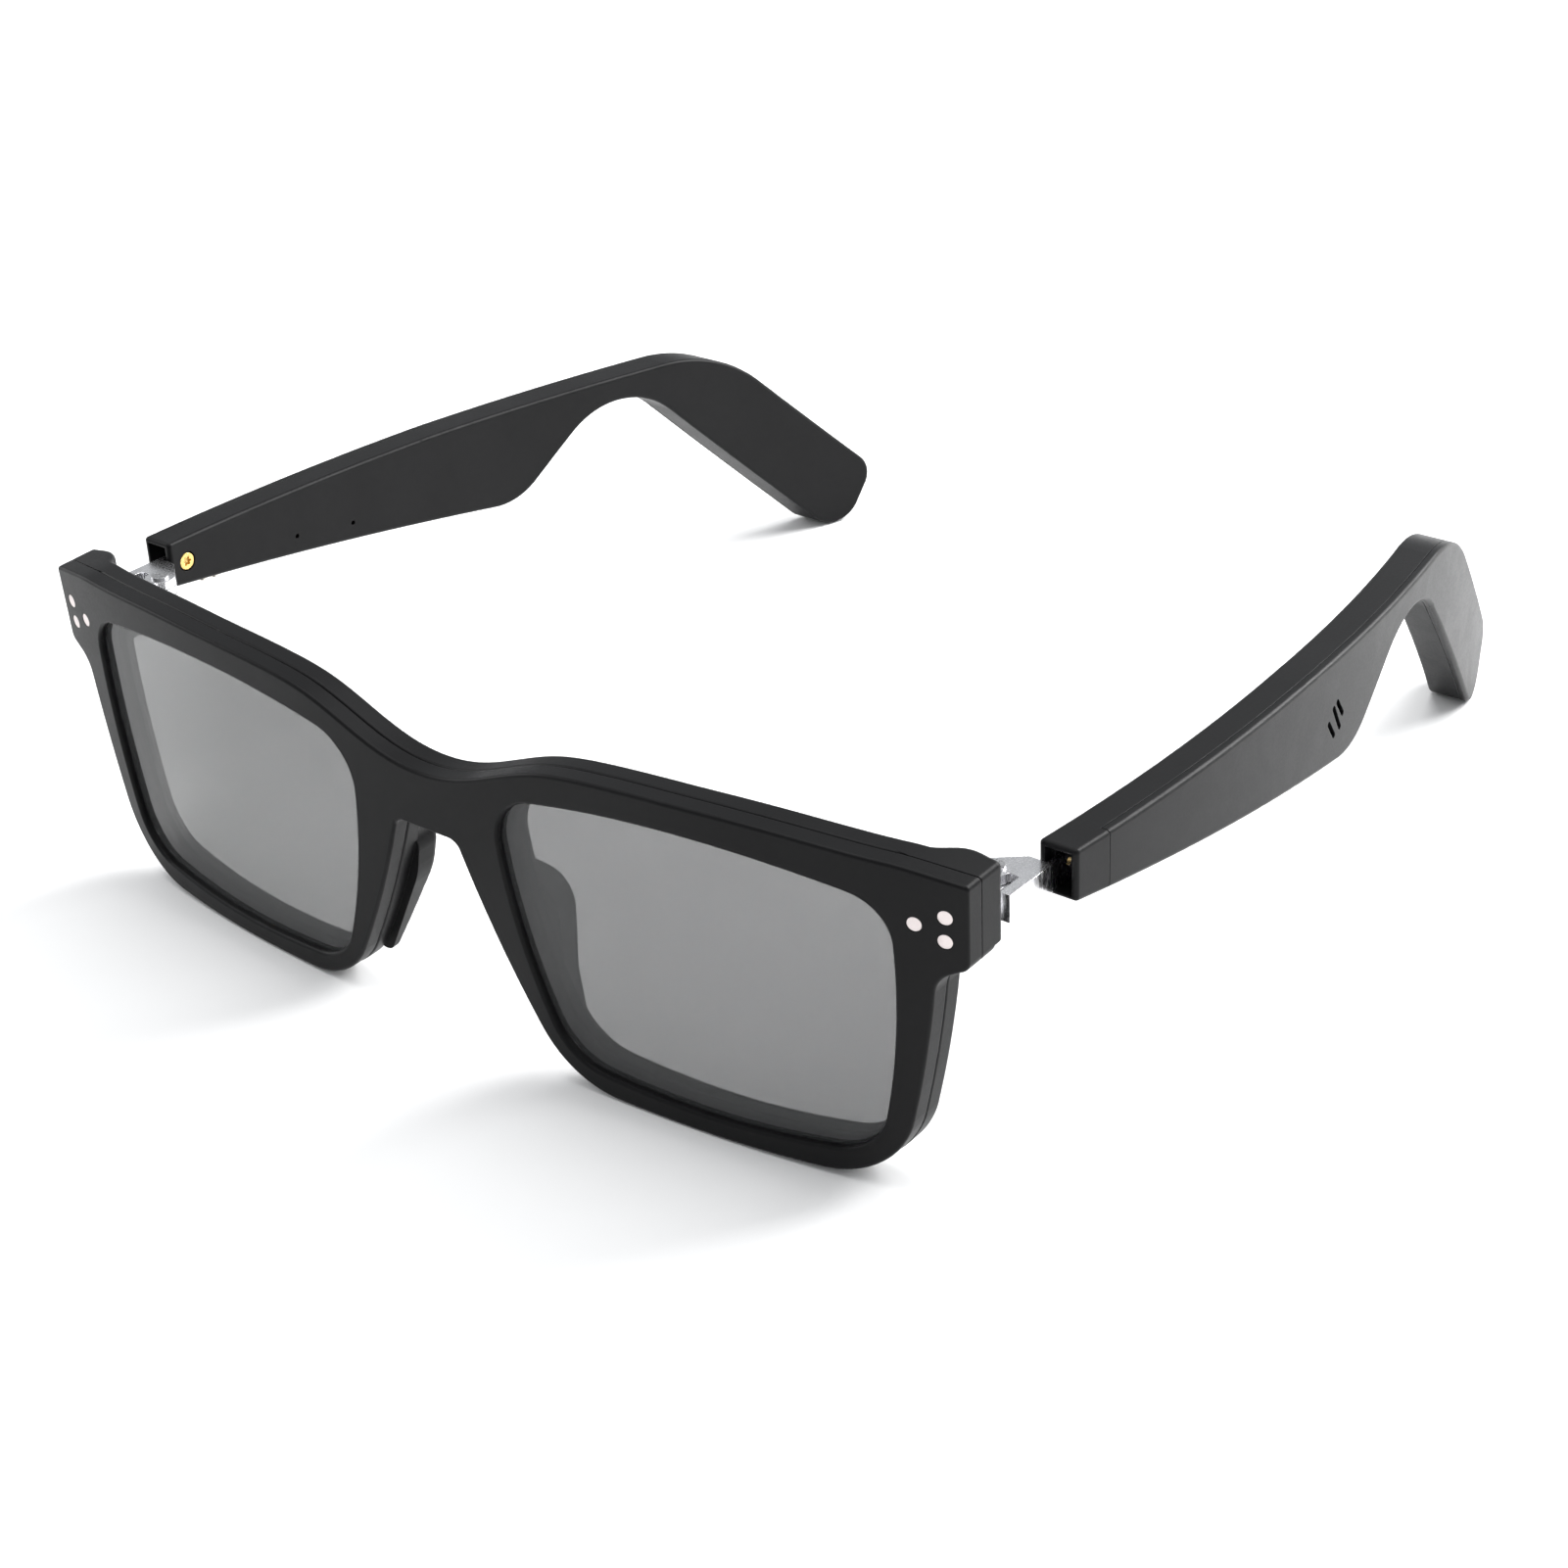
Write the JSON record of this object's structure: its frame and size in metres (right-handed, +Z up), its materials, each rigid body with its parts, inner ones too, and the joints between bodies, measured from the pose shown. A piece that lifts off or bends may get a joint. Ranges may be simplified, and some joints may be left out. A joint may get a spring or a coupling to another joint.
{
  "type": "smart glasses",
  "caption": "Smart glasses with folding electronics temples, metal hinges, a wrapped full-rim front and a tinted clip-on front that lifts off its magnets.",
  "frame": {"origin": "middle of the footprint with the temples unfolded, on the surface they stand on", "axes": "+X towards the wearer's left, +Y from the lenses towards the ear tips, +Z up"},
  "size_m": [0.1524, 0.1564, 0.0446],
  "materials": {
    "frame_plastic": "satin, faintly grained",
    "clip_plastic": "satin, faintly grained",
    "temple_plastic": "satin, faintly grained",
    "cover_plastic": "satin, faintly grained",
    "clear_lens": "polished, colourless",
    "tinted_lens": "polished, neutral grey tint",
    "magnet_metal": "plated",
    "disc_metal": "fine turned face",
    "hinge_steel": "satin",
    "screw_steel": "satin",
    "screw_brass": "satin",
    "contact_metal": "plated, polished",
    "board": "solder mask",
    "battery_foil": "foil",
    "speaker_case": "moulded",
    "mesh_metal": "woven",
    "can_metal": "plated",
    "touch_film": "clear amber film"
  },
  "bodies": {
    "front": {"main_frame": "frame_plastic", "main_lens_left": "clear_lens", "main_lens_right": "clear_lens", "frame_magnet_left": "magnet_metal", "frame_magnet_right": "magnet_metal", "hinge_plate_left": "hinge_steel", "hinge_plate_right": "hinge_steel", "hinge_plate_screws_left": "screw_steel", "hinge_plate_screws_right": "screw_steel"},
    "clip_on": {"clip_frame": "clip_plastic", "clip_lens_left": "tinted_lens", "clip_lens_right": "tinted_lens", "clip_studs_left": "disc_metal", "clip_studs_right": "disc_metal"},
    "temple_left": {"hinge_pin_left": "screw_steel", "hinge_block_left": "hinge_steel", "temple_body_left": "temple_plastic", "temple_cover_left": "cover_plastic", "temple_screw_left": "screw_brass", "circuit_board_left": "board", "battery_left": "battery_foil", "speaker_left": "speaker_case", "speaker_mesh_left": "mesh_metal", "microphones_left": "can_metal", "touch_sensor_left": "touch_film", "charging_contacts_left": "contact_metal"},
    "temple_right": {"hinge_pin_right": "screw_steel", "hinge_block_right": "hinge_steel", "temple_body_right": "temple_plastic", "temple_cover_right": "cover_plastic", "temple_screw_right": "screw_brass", "circuit_board_right": "board", "battery_right": "battery_foil", "speaker_right": "speaker_case", "speaker_mesh_right": "mesh_metal", "microphones_right": "can_metal", "touch_sensor_right": "touch_film", "charging_contacts_right": "contact_metal"}
  },
  "joints": [
    {"name": "temple_left_fold", "type": "hinge", "parent": "front", "child": "temple_left", "pos_m": [0.0678, -0.05817, 0.03565], "axis": [0, 0, 1], "range_deg": [0, 85]},
    {"name": "temple_right_fold", "type": "hinge", "parent": "front", "child": "temple_right", "pos_m": [-0.0678, -0.05817, 0.03565], "axis": [0, 0, -1], "range_deg": [0, 75]},
    {"name": "clip_lift_off", "type": "slide", "parent": "front", "child": "clip_on", "axis": [0, -1, 0], "range_m": [0, 0.015]}
  ]
}
